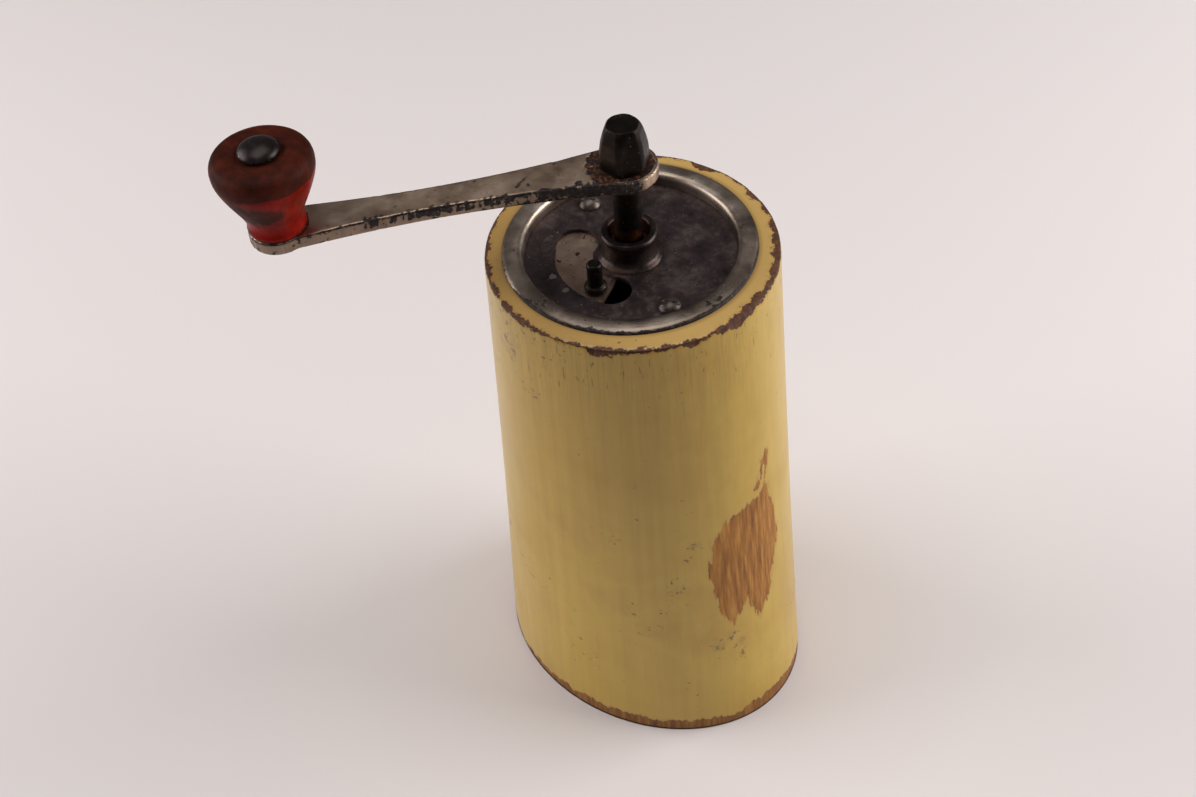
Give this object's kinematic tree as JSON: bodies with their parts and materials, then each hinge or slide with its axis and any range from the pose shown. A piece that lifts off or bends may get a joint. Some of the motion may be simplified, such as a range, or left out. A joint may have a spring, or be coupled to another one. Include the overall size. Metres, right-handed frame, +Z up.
{
  "type": "hand crank coffee grinder",
  "caption": "Tall wooden coffee mill with an oval foot, a flat hand crank with a turning knob, a swinging fill shutter, conical burrs and a pull-out cup.",
  "frame": {"origin": "where the spindle's axis meets the plane of the foot's underside, 0.9 mm from the middle of the foot", "axes": "+Z up along the spindle, +X along the long axis of the oval foot"},
  "size_m": [0.1305, 0.13, 0.2353],
  "materials": {
    "painted_wood": "cream-yellow brushed paint over wood, worn",
    "nickel": "worn nickel plate",
    "dark_plate": "bare steel plate gone dark",
    "black_steel": "oil-blackened steel",
    "bush_brass": "turned, oily",
    "plain_steel": "plain steel",
    "burr_iron": "cast and machined",
    "rivet_steel": "dark polished steel",
    "lacquered_wood": "red lacquer, worn dark",
    "tinned_steel": "dull tinned sheet"
  },
  "bodies": {
    "mill_body": {"body_shell": "painted_wood", "rim_ring": "nickel", "top_plate": "dark_plate", "bearing_boss": "black_steel", "top_bush": "bush_brass", "plate_screws": "dark_plate", "tie_rods": "plain_steel", "rod_nuts": "plain_steel", "shutter_washer": "plain_steel", "outer_burr": "burr_iron", "burr_bridge": "burr_iron", "bridge_screws": "plain_steel", "bridge_bush": "bush_brass"},
    "crank": {"spindle": "black_steel", "crank_arm": "nickel", "crank_nut": "black_steel", "knob_pin": "rivet_steel", "burr_spring": "plain_steel"},
    "knob_body": {"knob": "lacquered_wood"},
    "burr": {"inner_burr": "burr_iron", "detent_spring": "plain_steel"},
    "adjuster": {"adjusting_nut": "bush_brass"},
    "shutter": {"shutter_plate": "nickel", "shutter_stud": "black_steel"},
    "cup": {"grounds_cup": "tinned_steel"}
  },
  "joints": [
    {"name": "crank_turn", "type": "hinge", "parent": "mill_body", "child": "crank", "pos_m": [0, 0, 0.19], "axis": [0, 0, 1], "continuous": true},
    {"name": "knob_spin", "type": "hinge", "parent": "crank", "child": "knob_body", "pos_m": [-0.06106, -0.07225, 0.22], "axis": [0, 0, 1], "continuous": true},
    {"name": "burr_lift", "type": "slide", "parent": "crank", "child": "burr", "axis": [0, 0, 1], "range_m": [-0.00073, 0.00048], "deforming": ["burr_spring"]},
    {"name": "adjuster_turn", "type": "hinge", "parent": "burr", "child": "adjuster", "pos_m": [0, 0, 0.072], "axis": [0, 0, 1], "range_deg": [-265, 175]},
    {"name": "shutter_swing", "type": "hinge", "parent": "mill_body", "child": "shutter", "pos_m": [0, 0, 0.1735], "axis": [0, 0, 1], "range_deg": [-70, 22]},
    {"name": "cup_pull", "type": "slide", "parent": "mill_body", "child": "cup", "axis": [0, 0, -1], "range_m": [0, 0.1]}
  ],
  "couplings": [
    {"joint": "adjuster_turn", "follows": "burr_lift", "rad_per_m": 6283.2}
  ]
}
